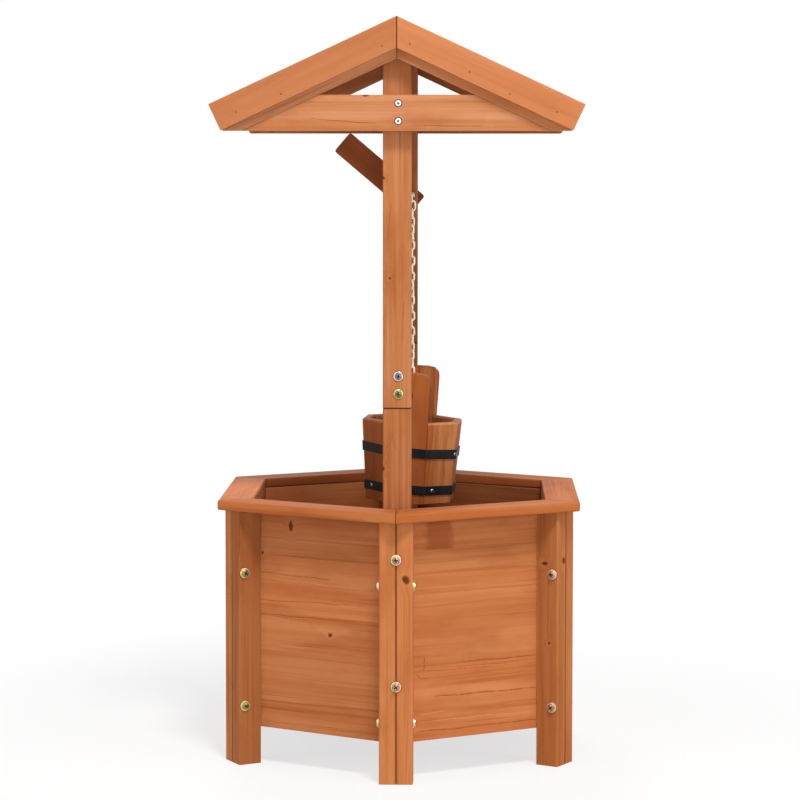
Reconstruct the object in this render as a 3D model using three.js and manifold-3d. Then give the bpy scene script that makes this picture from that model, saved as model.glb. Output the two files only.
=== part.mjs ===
// Wishing well planter: a six-sided wooden planter with two posts, a gabled roof, and a staved
// bucket that hangs by a chain from a crank shaft.
// Millimetres, +Z up. The origin is on the ground under the middle of the planter, and the front
// corner points towards -Y.

import * as THREE from 'three';
import { mergeVertices } from 'three/addons/utils/BufferGeometryUtils.js';
import Module from 'manifold-3d';

// Clearances shared by all pieces
const seat = 0.3;                // gap where one piece rests against another
const overrun = 5;               // how far a cutting shape runs past what it cuts
const weldReach = 0.001;         // vertices closer than this are one

// Planter
const legFace = 277.5;           // centre of the planter to the outer face of a leg pair
const legWidth = 23.8;           // one leg piece, seam to side
const legDepth = 35;             // side face of a leg, from its outer face to the panel
const legRound = 3;
const panelThickness = 11;
const panelBottom = 53;
const rimTop = 382;
const rimWidth = 49.3;
const rimThickness = 14;
const rimRound = 3.5;
const cleatSize = 18;
const cleatRise = 8;             // cleat above the panel's bottom edge
const cleatRoom = 3;             // free space between a cleat's end and the post
const floorThickness = 10;
const floorGap = 4;              // drainage gap between two floor boards
const floorBoards = 3;

// Posts
const postWidth = 40;
const postDepth = 30;
const postRound = 3;
const lapBottom = 523;           // shoulder of the half lap that shows outside
const lapLength = 63;

// Roof
const ridgeHeight = 1069;
const roofPitch = THREE.MathUtils.degToRad(25);
const roofHalfWidth = 261;
const roofThickness = 12;
const roofBoards = 4;            // boards on each slope
const grooveWidth = 3;
const grooveDepth = 1.6;
const gableThickness = 18;       // tie beams and rafters
const rafterHeight = 40;
const rafterSetback = 1.5;       // rafter end short of the roof's lower edge
const fasciaHeight = 40;
const fasciaThickness = 12;
const tieHeight = 50;
const tieUnder = 0.5;            // underside of the tie beam below the lower corners of the fascia

// Crank
const crankDrop = 96.5;          // underside of the tie beam to the shaft's axis
const shaftRadius = 11;
const shaftChamfer = 1.5;
const shaftPlay = 0.4;           // radial play of the shaft in the posts
const shaftSocket = 18;          // depth of the blind hole in the front post
const armWidth = 38;
const armReach = 129;            // axis to the handle end of the arm
const armTail = 24;              // axis to the other end
const armThickness = 18;
const armRound = 4.5;
const armPlay = 0.5;             // arm to the back of the rear post
const handleRadius = 10;
const handleInset = 20;          // handle axis to the end of the arm
const handleSocket = 12;
const handleGrip = 50;           // handle behind the arm
const handleRound = 3;

// Chain
const chainStandoff = 4.3;       // shaft surface to the middle of the chain
const screwRise = 4;             // chain screw above the shaft's axis
const screwRadius = 1.7;
const screwHead = 3.8;
const screwHeadHeight = 1.6;
const screwRoom = 1.2;           // link to the screw's head
const linkWire = 2.6;
const linkWidth = 11;
const linkPitch = 11.65;
const linkCount = 24;
const linkBite = 0.25;           // how far the wires of two links are pressed into each other
const linkHalfTurns = 10;        // half turns that the links make from the first to the last
const ringWire = 2.6;
const ringInside = 9;            // inner radius of the ring round the bucket's rod

// Bucket, measured from the axis of its rod
const bucketYaw = THREE.MathUtils.degToRad(-4.6);
const bucketTilt = THREE.MathUtils.degToRad(2);
const rodOffset = 3;             // rod to the side of the bucket's middle, which makes it hang askew
const rodRadius = 6;
const rodRecess = 1;             // rod ends inside the ears' outer faces
const earRise = 31.5;
const earRound = 18;
const rimDrop = 42;
const staves = 8;
const bucketHeight = 120;
const bucketRimRadius = 77.4;    // to the corners
const bucketFootRadius = 67.6;
const staveThickness = 12;
const staveChamfer = 2;
const bottomThickness = 10;
const bottomInset = 6;
const hoopHeight = 13.8;
const hoopThickness = 1.3;
const upperHoopDrop = 44;        // rim to the middle of the hoop
const lowerHoopRise = 21;        // foot to the middle of the hoop
const upperHoopTilt = THREE.MathUtils.degToRad(3);
const lowerHoopTilt = THREE.MathUtils.degToRad(1.6);

// Facets
const cornerSegments = 3;
const roundSegments = 32;
const handleSegments = 24;
const linkSides = 6;
const linkSegments = 12;
const ringSides = 8;
const ringSegments = 20;

// Places worked out from the sizes above
const planterSides = 6;
const sideAngle = 2 * Math.PI / planterSides;
const halfSide = sideAngle / 2;
const panelOuter = (legFace - legDepth) * Math.cos(halfSide) + legWidth * Math.sin(halfSide) - seat;
const panelInner = panelOuter - panelThickness;
const rimUnderside = rimTop - rimThickness;
const cleatTop = panelBottom + cleatRise + cleatSize;
const postFace = (panelInner - seat - (postWidth / 2) * Math.sin(halfSide)) / Math.cos(halfSide);
const postBack = postFace - postDepth;
const lapTop = lapBottom + lapLength;
const gableBack = postFace + seat;
const gableFace = gableBack + gableThickness;
const roofEnd = gableFace;
const slopeLength = roofHalfWidth / Math.cos(roofPitch);
const rafterTop = -(roofThickness + seat);
const rafterUnder = rafterTop - rafterHeight;
const roofLow = ridgeHeight - roofHalfWidth * Math.tan(roofPitch);
const tieBottom = roofLow - fasciaHeight * Math.cos(roofPitch) - tieUnder;
const axisHeight = tieBottom - crankDrop;
const armFront = postFace + armPlay;
const armBack = armFront + armThickness;
const chainSide = shaftRadius + chainStandoff;
const screwHeight = axisHeight + screwRise;
const chainTop = screwHeight + screwRadius + seat + linkWire / 2;
const linkLength = linkPitch + linkWire - linkBite;          // along the wire's centre line
const chainBottom = chainTop - linkPitch * (linkCount - 1) - linkLength;
const ringRadius = ringInside + ringWire / 2;
const ringHeight = chainBottom + (linkWire + ringWire) / 2 + seat - ringRadius;
const rodHeight = ringHeight - ringInside + rodRadius + seat;

const wasm = await Module();
wasm.setup();
const part = new THREE.Group();

// Solids

function solidOf(geometry) {
  const bare = geometry.clone();
  for (const name of Object.keys(bare.attributes)) {
    if (name !== 'position') bare.deleteAttribute(name);
  }
  const welded = mergeVertices(bare, weldReach);
  const corners = welded.index.array;
  const triVerts = [];
  for (let i = 0; i < corners.length; i += 3) {
    const [a, b, c] = corners.slice(i, i + 3);
    if (a !== b && b !== c && c !== a) triVerts.push(a, b, c);
  }
  return new wasm.Manifold(new wasm.Mesh({
    numProp: 3,
    vertProperties: new Float32Array(welded.attributes.position.array),
    triVerts: new Uint32Array(triVerts),
  }));
}

function geometryOf(solid) {
  const mesh = solid.getMesh();
  const geometry = new THREE.BufferGeometry();
  geometry.setAttribute('position', new THREE.BufferAttribute(mesh.vertProperties, mesh.numProp));
  geometry.setIndex(new THREE.BufferAttribute(mesh.triVerts, 1));
  return geometry;
}

// Outlines: each corner is [x, y] or [x, y, rounding]

function outline(corners) {
  const shape = new THREE.Shape();
  const count = corners.length;
  corners.forEach(([x, y, rounding = 0], i) => {
    const corner = new THREE.Vector2(x, y);
    const before = new THREE.Vector2(...corners[(i + count - 1) % count].slice(0, 2));
    const after = new THREE.Vector2(...corners[(i + 1) % count].slice(0, 2));
    const start = corner.clone().add(before.sub(corner).setLength(rounding));
    const end = corner.clone().add(after.sub(corner).setLength(rounding));
    if (i === 0) shape.moveTo(start.x, start.y);
    else shape.lineTo(start.x, start.y);
    if (rounding > 0) shape.quadraticCurveTo(x, y, end.x, end.y);
  });
  shape.closePath();
  return shape;
}

function rectangle(x0, y0, x1, y1, rounding = 0) {
  return outline([[x0, y0, rounding], [x1, y0, rounding], [x1, y1, rounding], [x0, y1, rounding]]);
}

function extruded(shape, depth) {
  const settings = { depth, bevelEnabled: false, curveSegments: cornerSegments };
  return new THREE.ExtrudeGeometry(shape, settings);
}

// A shape drawn in plan, from z0 up to z1
function upright(shape, z0, z1) {
  return solidOf(extruded(shape, z1 - z0).translate(0, 0, z0));
}

// A shape drawn in X and Z, from y0 back to y1
function lengthwise(shape, y0, y1) {
  return solidOf(extruded(shape, y1 - y0).rotateX(Math.PI / 2).translate(0, y1, 0));
}

function rod(radius, y0, y1, segments = roundSegments) {
  const middle = (y0 + y1) / 2;
  return solidOf(new THREE.CylinderGeometry(radius, radius, y1 - y0, segments).translate(0, middle, 0));
}

function turned(profile, segments, phiStart = 0) {
  const points = profile.map(([radius, along]) => new THREE.Vector2(radius, along));
  return solidOf(new THREE.LatheGeometry(points, segments, phiStart));
}

// Half the length of a mitred side piece at a distance from the centre
function mitreHalf(distance, halfAngle = halfSide) {
  return (distance - seat / 2 / Math.sin(halfAngle)) * Math.tan(halfAngle);
}

// A slice of the plan about +X, between two mitres
function slice(halfAngle, reach, z0, z1) {
  const tip = seat / 2 / Math.sin(halfAngle);
  const half = mitreHalf(reach, halfAngle);
  return upright(outline([[tip, 0], [reach, -half], [reach, half]]), z0, z1);
}

function add(name, solid, colour, roughness, parent = part, metalness = 0) {
  const material = new THREE.MeshStandardMaterial({ color: colour, roughness, metalness });
  const mesh = new THREE.Mesh(geometryOf(solid), material);
  mesh.name = name;
  parent.add(mesh);
  return mesh;
}

function turnedGroup(angle, parent = part) {
  const group = new THREE.Group();
  group.rotation.z = angle;
  parent.add(group);
  return group;
}

// Legs: two pieces side by side at each corner, bolted to each other through their seam. Their
// backs are bevelled to lie on the two panels.

function legSection(side) {
  const back = (across) =>
    (panelOuter + seat - across * Math.sin(halfSide)) / Math.cos(halfSide);
  return outline([
    [legFace, side * seat / 2, legRound / 2],
    [legFace, side * legWidth, legRound],
    [back(legWidth), side * legWidth, legRound / 2],
    [back(seat / 2), side * seat / 2],
  ]);
}

function legs() {
  const corners = ['back_right', 'back', 'back_left', 'front_left', 'front', 'front_right'];
  corners.forEach((corner, i) => {
    const group = turnedGroup(halfSide + i * sideAngle);
    add(`leg_${corner}_a`, upright(legSection(-1), 0, rimUnderside - seat), '#c17743', 0.6, group);
    add(`leg_${corner}_b`, upright(legSection(1), 0, rimUnderside - seat), '#c17743', 0.6, group);
  });
}

// Panels, each with the cleat that carries the floor on its inner face, and the mitred rim

function panel() {
  const inner = mitreHalf(panelInner);
  const outer = mitreHalf(panelOuter);
  const board = upright(outline([
    [panelInner, -inner], [panelOuter, -outer], [panelOuter, outer], [panelInner, inner],
  ]), panelBottom, rimUnderside - seat);
  const cleatHalf = postBack * Math.sin(halfSide) - (postWidth / 2) * Math.cos(halfSide) - cleatRoom;
  const middle = panelInner + panelThickness / 2;
  const cleat = rectangle(panelInner - cleatSize, -cleatHalf, middle, cleatHalf);
  return board.add(upright(cleat, cleatTop - cleatSize, cleatTop));
}

function rimBoard() {
  const outer = panelInner + rimWidth;
  const half = mitreHalf(outer) + overrun;
  const section = rectangle(panelInner, rimUnderside, outer, rimTop, rimRound);
  return lengthwise(section, -half, half)
    .intersect(slice(halfSide, outer + overrun, rimUnderside - overrun, rimTop + overrun));
}

function panelsAndRim() {
  const sides = ['right', 'back_right', 'back_left', 'left', 'front_left', 'front_right'];
  sides.forEach((side, i) => {
    const group = turnedGroup(i * sideAngle);
    add(`panel_${side}`, panel(), '#bb6f3e', 0.62, group);
    add(`rim_${side}`, rimBoard(), '#c67b48', 0.58, group);
  });
}

// Floor: boards from side to side, cut to the inner hexagon and short of the posts

function floor() {
  const bottom = cleatTop + seat;
  const top = bottom + floorThickness;
  const corner = (panelInner - seat) / Math.cos(halfSide);
  const hexagon = Array.from({ length: planterSides }, (_, i) => [
    corner * Math.cos(halfSide + i * sideAngle), corner * Math.sin(halfSide + i * sideAngle),
  ]);
  const front = -(postBack - seat);
  const boardWidth = (-2 * front - (floorBoards - 1) * floorGap) / floorBoards;
  for (let i = 0; i < floorBoards; i++) {
    const y0 = front + i * (boardWidth + floorGap);
    const strip = rectangle(-corner, y0, corner, y0 + boardWidth);
    const board = upright(outline(hexagon), bottom, top)
      .intersect(upright(strip, bottom - overrun, top + overrun));
    add(`floor_board_${i + 1}`, board, '#a5673a', 0.75);
  }
}

// Roof: x and z of a point some way down the slope and some way above or below its top surface

function slopePoint(along, above) {
  return [
    along * Math.cos(roofPitch) + above * Math.sin(roofPitch),
    ridgeHeight - along * Math.sin(roofPitch) + above * Math.cos(roofPitch),
  ];
}

// Where a layer of the roof starts at the plumb cut of the ridge
function ridgeStart(above) {
  return (seat / 2 - above * Math.sin(roofPitch)) / Math.cos(roofPitch);
}

function mirrored(corners) {
  return corners.map(([x, ...rest]) => [-x, ...rest]);
}

// Posts, drawn at the front. The outer half of the upper post laps over the lower one.

function lowerPost() {
  const section = rectangle(-postWidth / 2, -postFace, postWidth / 2, -postBack, postRound);
  const middle = -(postFace + postBack) / 2;
  const reach = postWidth / 2 + overrun;
  const notch = rectangle(-reach, -postFace - overrun, reach, middle + seat / 2);
  return upright(section, panelBottom, lapTop)
    .subtract(upright(notch, lapBottom, lapTop + overrun));
}

function upperPost(bore) {
  const section = rectangle(-postWidth / 2, -postFace, postWidth / 2, -postBack, postRound);
  const middle = -(postFace + postBack) / 2;
  const reach = postWidth / 2 + overrun;
  const notch = rectangle(-reach, middle - seat / 2, reach, -postBack + overrun);
  const top = (x) => ridgeHeight - (roofThickness + seat) / Math.cos(roofPitch) - x * Math.tan(roofPitch);
  const gable = outline([
    [-reach, lapBottom + seat], [reach, lapBottom + seat],
    [reach, top(reach)], [0, top(0)], [-reach, top(reach)],
  ]);
  return upright(section, lapBottom, ridgeHeight)
    .intersect(lengthwise(gable, -postFace - overrun, -postBack + overrun))
    .subtract(upright(notch, lapBottom - overrun, lapTop + seat))
    .subtract(bore);
}

function posts() {
  const boreRadius = shaftRadius + shaftPlay;
  const blind = rod(boreRadius, -postBack - shaftSocket, -postBack + overrun).translate([0, 0, axisHeight]);
  const through = rod(boreRadius, -postFace - overrun, -postBack + overrun).translate([0, 0, axisHeight]);
  const rear = turnedGroup(Math.PI);
  add('post_front_lower', lowerPost(), '#c3743f', 0.58);
  add('post_front_upper', upperPost(blind), '#c97c49', 0.58);
  add('post_rear_lower', lowerPost(), '#8a4a28', 0.6, rear);
  add('post_rear_upper', upperPost(through), '#8a4a28', 0.6, rear);
}

// Tie beam: its ends are cut to lie under the rafters
function tieBeam() {
  const peak = slopePoint(ridgeStart(rafterUnder - seat), rafterUnder - seat)[1]
    + (seat / 2) * Math.tan(roofPitch);
  const half = (height) => (peak - height) / Math.tan(roofPitch);
  const top = tieBottom + tieHeight;
  return lengthwise(outline([
    [-half(tieBottom), tieBottom], [half(tieBottom), tieBottom], [half(top), top], [-half(top), top],
  ]), -gableFace, -gableBack);
}

// Rafter: plumb cut at the ridge, square end, and its lower corner cut level with the tie beam
function rafter(side) {
  const end = slopeLength - rafterSetback;
  const [endX, endZ] = slopePoint(end, rafterTop);
  const levelX = endX - (endZ - tieBottom) * Math.tan(roofPitch);
  const [lowX, lowZ] = slopePoint(ridgeStart(rafterUnder), rafterUnder);
  const heelX = lowX + (lowZ - tieBottom) / Math.tan(roofPitch);
  const corners = [
    slopePoint(ridgeStart(rafterTop), rafterTop), [endX, endZ],
    [levelX, tieBottom], [heelX, tieBottom], [lowX, lowZ],
  ];
  return lengthwise(outline(side > 0 ? corners : mirrored(corners)), -gableFace, -gableBack);
}

function fascia(side) {
  const corners = [
    slopePoint(ridgeStart(0), 0), slopePoint(slopeLength, 0),
    slopePoint(slopeLength, -fasciaHeight), slopePoint(ridgeStart(-fasciaHeight), -fasciaHeight),
  ];
  const face = gableFace + seat + fasciaThickness;
  return lengthwise(outline(side > 0 ? corners : mirrored(corners)), -face, -gableFace - seat);
}

// One slope: boards edge to edge, with a V groove at each joint on both faces
function roofSlope() {
  const boardWidth = slopeLength / roofBoards;
  const joints = Array.from({ length: roofBoards - 1 }, (_, i) => (i + 1) * boardWidth);
  const half = grooveWidth / 2;
  const corners = [slopePoint(ridgeStart(0), 0)];
  for (const joint of joints) {
    corners.push(slopePoint(joint - half, 0), slopePoint(joint, -grooveDepth), slopePoint(joint + half, 0));
  }
  corners.push(slopePoint(slopeLength, 0), slopePoint(slopeLength, -roofThickness));
  const under = -roofThickness;
  for (const joint of joints.reverse()) {
    corners.push(slopePoint(joint + half, under), slopePoint(joint, under + grooveDepth));
    corners.push(slopePoint(joint - half, under));
  }
  corners.push(slopePoint(ridgeStart(under), under));
  return lengthwise(outline(corners), -roofEnd, roofEnd);
}

function roof() {
  const rear = turnedGroup(Math.PI);
  add('tie_beam_front', tieBeam(), '#cc8350', 0.58);
  add('tie_beam_rear', tieBeam(), '#83431f', 0.6, rear);
  add('rafter_front_right', rafter(1), '#a9602f', 0.6);
  add('rafter_front_left', rafter(-1), '#a9602f', 0.6);
  add('rafter_rear_left', rafter(1), '#83431f', 0.6, rear);
  add('rafter_rear_right', rafter(-1), '#83431f', 0.6, rear);
  add('fascia_front_right', fascia(1), '#cf8552', 0.58);
  add('fascia_front_left', fascia(-1), '#cf8552', 0.58);
  add('fascia_rear_left', fascia(1), '#b5703f', 0.6, rear);
  add('fascia_rear_right', fascia(-1), '#b5703f', 0.6, rear);
  add('roof_right', roofSlope(), '#b9713f', 0.62);
  add('roof_left', roofSlope(), '#b9713f', 0.62, rear);
}

// Crank: a dowel shaft with the chain's screw in its side, an arm and a handle. At rest a corner of
// the arm lies against the underside of the rear tie beam.

function crankRestAngle() {
  const reach = Math.hypot(armReach - armRound, armWidth / 2 - armRound);
  const corner = Math.atan2(armWidth / 2 - armRound, armReach - armRound);
  return Math.asin((crankDrop - seat - armRound) / reach) - corner;
}

function shaft() {
  const start = -(postBack + shaftSocket - seat);
  const body = turned([
    [0, start], [shaftRadius - shaftChamfer, start], [shaftRadius, start + shaftChamfer],
    [shaftRadius, armBack - shaftChamfer], [shaftRadius - shaftChamfer, armBack], [0, armBack],
  ], roundSegments);
  const headStart = chainStandoff + linkWire / 2 + screwRoom;
  const headEnd = headStart + screwHeadHeight;
  const screw = turned([
    [0, -shaftRadius / 2], [screwRadius, -shaftRadius / 2], [screwRadius, headStart],
    [screwHead, headStart], [screwHead, headEnd - screwHeadHeight / 2], [screwHead / 2, headEnd],
    [0, headEnd],
  ], linkSegments).rotate([0, 0, -90]).translate([shaftRadius, 0, screwRise]);
  return body.add(screw);
}

function crankArm() {
  const half = armWidth / 2;
  const board = lengthwise(rectangle(-armTail, -half, armReach, half, armRound), armFront, armBack);
  const hub = rod(shaftRadius + seat, armFront - overrun, armBack + overrun);
  const socket = rod(handleRadius + seat, armBack - handleSocket, armBack + overrun, handleSegments)
    .translate([armReach - handleInset, 0, 0]);
  return board.subtract(hub).subtract(socket);
}

function crankHandle() {
  const start = armBack - handleSocket + seat;
  const end = armBack + handleGrip;
  return turned([
    [0, start], [handleRadius, start], [handleRadius, end - handleRound],
    [handleRadius - handleRound * (1 - Math.SQRT1_2), end - handleRound * (1 - Math.SQRT1_2)],
    [handleRadius - handleRound, end], [0, end],
  ], handleSegments).translate([armReach - handleInset, 0, 0]);
}

function crank() {
  const axle = new THREE.Group();
  axle.position.z = axisHeight;
  part.add(axle);
  add('crank_shaft', shaft(), '#8a4a26', 0.6, axle);
  const swung = new THREE.Group();
  swung.rotation.y = Math.PI + crankRestAngle();
  axle.add(swung);
  add('crank_arm', crankArm(), '#6e3c20', 0.62, swung);
  add('crank_handle', crankHandle(), '#8a4a26', 0.6, swung);
}

// Chain: links turned a little less than a right angle from one to the next, so that the chain
// shows them from changing sides. A link is a torus whose two halves are drawn apart.

function link() {
  const bend = (linkWidth - linkWire) / 2;
  const wire = new THREE.TorusGeometry(bend, linkWire / 2, linkSides, linkSegments);
  wire.rotateZ(Math.PI / linkSegments);
  const straight = linkLength - 2 * bend;
  const position = wire.attributes.position;
  for (let i = 0; i < position.count; i++) {
    position.setY(i, position.getY(i) + Math.sign(position.getY(i)) * straight / 2);
  }
  return solidOf(wire.rotateX(Math.PI / 2));
}

function chain() {
  const turn = (linkHalfTurns * 180 - THREE.MathUtils.radToDeg(bucketYaw)) / (linkCount - 1);
  const one = link();
  const links = Array.from({ length: linkCount }, (_, i) =>
    one.rotate([0, 0, 90 - i * turn]).translate([0, 0, -i * linkPitch - linkLength / 2]));
  const group = new THREE.Group();
  group.position.set(chainSide, 0, chainTop);
  part.add(group);
  add('chain', wasm.Manifold.union(links), '#d9d4c6', 0.35, group, 0.7);
}

// Bucket: eight tapered staves, the front and back ones drawn up into ears that hold the rod

function bucketCorner(height) {
  const flare = (bucketRimRadius - bucketFootRadius) / bucketHeight;
  return bucketRimRadius + (height + rimDrop) * flare;
}

const halfStave = Math.PI / staves;
const staveWall = staveThickness / Math.cos(halfStave);
const bucketFoot = -(rimDrop + bucketHeight);

// An eight-sided solid of revolution about +Z, its profile given as [radius to a corner, height]
function octagonal(profile) {
  return turned(profile, staves, halfStave).rotate([90, 0, 0]);
}

function staveRing(top) {
  const low = top - staveChamfer;
  const inner = (height) => bucketCorner(height) - staveWall;
  return octagonal([
    [inner(bucketFoot), bucketFoot], [bucketCorner(bucketFoot), bucketFoot],
    [bucketCorner(low), low], [bucketCorner(top) - staveChamfer, top],
    [inner(top) + staveChamfer, top], [inner(low), low], [inner(bucketFoot), bucketFoot],
  ]);
}

function stave(angle, top) {
  const reach = bucketCorner(top) + overrun;
  return staveRing(top)
    .intersect(slice(halfStave, reach, bucketFoot - overrun, top + overrun).rotate([0, 0, angle]));
}

// The rounded ears, and the rod's holes through them
function eared(solid) {
  const half = bucketCorner(earRise) * Math.sin(halfStave);
  const reach = bucketCorner(earRise) + overrun;
  const front = outline([
    [-half, bucketFoot - overrun], [half, bucketFoot - overrun],
    [half, earRise, earRound], [-half, earRise, earRound],
  ]);
  return solid.intersect(lengthwise(front, -reach, reach))
    .subtract(rod(rodRadius + seat, -reach, reach, handleSegments).translate([-rodOffset, 0, 0]));
}

function hoop(drop, tilt) {
  const middle = -rimDrop - drop;
  const lean = bucketRimRadius * Math.tan(tilt);
  const low = middle - hoopHeight / 2 - lean - overrun;
  const high = middle + hoopHeight / 2 + lean + overrun;
  const gap = seat / Math.cos(halfStave);
  const wall = gap + hoopThickness / Math.cos(halfStave);
  const band = octagonal([
    [bucketCorner(low) + gap, low], [bucketCorner(low) + wall, low],
    [bucketCorner(high) + wall, high], [bucketCorner(high) + gap, high],
    [bucketCorner(low) + gap, low],
  ]);
  const reach = 2 * (bucketRimRadius + overrun);
  const slab = new THREE.BoxGeometry(reach, reach, hoopHeight).rotateY(tilt).translate(0, 0, middle);
  return band.intersect(solidOf(slab));
}

function bucketBottom() {
  const low = bucketFoot + bottomInset;
  const high = low + bottomThickness;
  const edge = (height) => bucketCorner(height) - staveWall - seat / Math.cos(halfStave);
  return octagonal([[0, low], [edge(low), low], [edge(high), high], [0, high]]);
}

function bucket() {
  const hung = turnedGroup(bucketYaw);
  hung.position.set(chainSide, 0, rodHeight);
  const ring = new THREE.TorusGeometry(ringRadius, ringWire / 2, ringSides, ringSegments);
  ring.rotateX(Math.PI / 2).translate(0, 0, ringHeight - rodHeight);
  add('bucket_ring', solidOf(ring), '#d9d4c6', 0.35, hung, 0.7);

  const tilted = new THREE.Group();
  tilted.rotation.y = bucketTilt;
  hung.add(tilted);
  const rodEnd = (bucketCorner(0) * Math.cos(halfStave)) - rodRecess;
  add('bucket_rod', rod(rodRadius, -rodEnd, rodEnd, handleSegments), '#9a5a30', 0.6, tilted);

  const tub = new THREE.Group();
  tub.position.x = rodOffset;
  tilted.add(tub);
  const names = ['right', 'back_right', 'back', 'back_left', 'left', 'front_left', 'front', 'front_right'];
  names.forEach((name, i) => {
    const ear = name === 'front' || name === 'back';
    const plain = stave(THREE.MathUtils.radToDeg(2 * halfStave * i), ear ? earRise : -rimDrop);
    add(`stave_${name}`, ear ? eared(plain) : plain, '#b16a3a', 0.6, tub);
  });
  add('bucket_bottom', bucketBottom(), '#8d5129', 0.7, tub);
  add('hoop_upper', hoop(upperHoopDrop, upperHoopTilt), '#1c1c1e', 0.55, tub, 0.3);
  add('hoop_lower', hoop(bucketHeight - lowerHoopRise, lowerHoopTilt), '#1c1c1e', 0.55, tub, 0.3);
}

legs();
panelsAndRim();
floor();
posts();
roof();
crank();
chain();
bucket();

export default part;
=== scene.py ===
import bmesh
import bpy
import random
from math import cos, pi, radians, sin, tan
from mathutils import Matrix, Vector


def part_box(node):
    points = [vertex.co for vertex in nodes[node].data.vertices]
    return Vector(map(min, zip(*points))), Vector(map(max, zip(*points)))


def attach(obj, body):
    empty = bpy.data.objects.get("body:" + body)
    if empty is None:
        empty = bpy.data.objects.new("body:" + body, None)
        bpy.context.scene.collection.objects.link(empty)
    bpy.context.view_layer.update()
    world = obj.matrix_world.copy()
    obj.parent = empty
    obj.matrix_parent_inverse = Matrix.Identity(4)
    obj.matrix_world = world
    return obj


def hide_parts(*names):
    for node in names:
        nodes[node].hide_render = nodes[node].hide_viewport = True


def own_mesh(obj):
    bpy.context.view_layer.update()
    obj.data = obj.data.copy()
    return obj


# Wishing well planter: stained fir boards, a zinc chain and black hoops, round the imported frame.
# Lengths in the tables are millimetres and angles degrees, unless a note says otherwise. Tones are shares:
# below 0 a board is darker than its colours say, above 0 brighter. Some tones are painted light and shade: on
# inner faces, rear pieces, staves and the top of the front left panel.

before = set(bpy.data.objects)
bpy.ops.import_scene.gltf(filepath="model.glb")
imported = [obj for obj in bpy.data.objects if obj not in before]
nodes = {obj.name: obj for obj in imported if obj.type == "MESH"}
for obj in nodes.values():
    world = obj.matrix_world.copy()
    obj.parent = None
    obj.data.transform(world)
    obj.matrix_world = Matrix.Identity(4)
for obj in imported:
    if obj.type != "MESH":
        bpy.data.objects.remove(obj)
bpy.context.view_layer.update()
scene = bpy.context.scene
mm = 0.001
origin = (0, 0, 0)
xAxis, yAxis, up = Vector((1, 0, 0)), Vector((0, 1, 0)), Vector((0, 0, 1))
quarterTurn = Matrix.Rotation(radians(90), 3, "X")
toMetres = Matrix.Scale(mm, 4)
ops = bmesh.ops
print("frame loaded:", len(nodes), "nodes")


# Small helpers

def colour(code):      # from a web colour to linear light
    channels = [int(code[i:i + 2], 16) / 255 for i in (1, 3, 5)]
    return [c / 12.92 if c < 0.04045 else ((c + 0.055) / 1.055) ** 2.4 for c in channels] + [1]


def turn(degrees, axis="Z"):
    return Matrix.Rotation(radians(degrees), 4, axis)


def outward(degrees):
    return Vector((cos(radians(degrees)), sin(radians(degrees)), 0))


def middleOf(verts):
    return sum((v.co for v in verts), Vector()) / len(verts)


def newMesh(bm, name):
    mesh = bpy.data.meshes.new(name)
    bm.to_mesh(mesh)
    bm.free()
    return mesh


def newObject(name, data):
    made = bpy.data.objects.new(name, data)
    scene.collection.objects.link(made)
    return made


sharpFrom = 50      # between two faces


def finish(bm, name, material, body, replaced=(), weighted=True):
    for face in bm.faces:
        face.smooth = True
    mesh = newMesh(bm, name)
    mesh.set_sharp_from_angle(angle=radians(sharpFrom))
    mesh.materials.append(material)
    piece = newObject(name, mesh)
    if weighted:
        modifier = piece.modifiers.new("flat faces stay flat", "WEIGHTED_NORMAL")
        modifier.keep_sharp = True
    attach(piece, body)
    if replaced:
        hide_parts(*replaced)
    return piece


# Shader helpers

def put(tree, kind, inputs=None, **settings):
    made = tree.nodes.new("ShaderNode" + kind)
    for key, value in settings.items():
        setattr(made, key, value)
    for key, value in (inputs or {}).items():
        if isinstance(value, bpy.types.NodeSocket):
            tree.links.new(value, made.inputs[key])
        else:
            made.inputs[key].default_value = value
    return made


def emptyMaterial(name):
    material = bpy.data.materials.new(name)
    material.use_nodes = True
    material.node_tree.nodes.clear()
    return material, material.node_tree


def setSurface(tree, shader, kind="OutputMaterial"):
    tree.links.new(shader.outputs[0], put(tree, kind).inputs["Surface"])


def calc(tree, operation, *values, clamp=False):
    made = put(tree, "Math", dict(enumerate(values)), operation=operation)
    made.use_clamp = clamp
    return made.outputs[0]


def times(tree, first, second, clamp=False):
    return calc(tree, "MULTIPLY", first, second, clamp=clamp)


def timesPlus(tree, value, factor, added):
    return calc(tree, "MULTIPLY_ADD", value, factor, added)


def vector(tree, operation, first, second=None, output=0):
    inputs = {0: first} if second is None else {0: first, 1: second}
    return put(tree, "VectorMath", inputs, operation=operation).outputs[output]


def lengthOf(tree, value):
    return vector(tree, "LENGTH", value, output="Value")


def scaled(tree, value, factor):
    return put(tree, "VectorMath", {0: value, "Scale": factor}, operation="SCALE").outputs[0]


def centred(tree, value):      # a noise from 0 to 1 is moved round 0
    return vector(tree, "ADD", value, (-0.5, -0.5, -0.5))


def jitter(tree, value, size):
    return timesPlus(tree, value, size, -size / 2)


def span(tree, value, low, high, toLow=0.0, toHigh=1.0):
    inputs = {"Value": value, "From Min": low, "From Max": high, "To Min": toLow, "To Max": toHigh}
    return put(tree, "MapRange", inputs, interpolation_type="SMOOTHSTEP").outputs[0]


def ramp(tree, value, name, *shares):
    return span(tree, value, *ramps[name], *shares)


def mixed(tree, share, first, second):
    return put(tree, "Mix", {0: share, 6: first, 7: second}, data_type="RGBA").outputs[2]


def noise(tree, place, scale, detail=2.0, roughness=0.5, output="Fac"):
    scales = scale if isinstance(scale, tuple) else (scale, scale, scale)
    inputs = {"Vector": vector(tree, "MULTIPLY", place, scales), "Scale": 1.0, "Detail": detail,
              "Roughness": roughness}
    return put(tree, "TexNoise", inputs).outputs[output]


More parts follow.
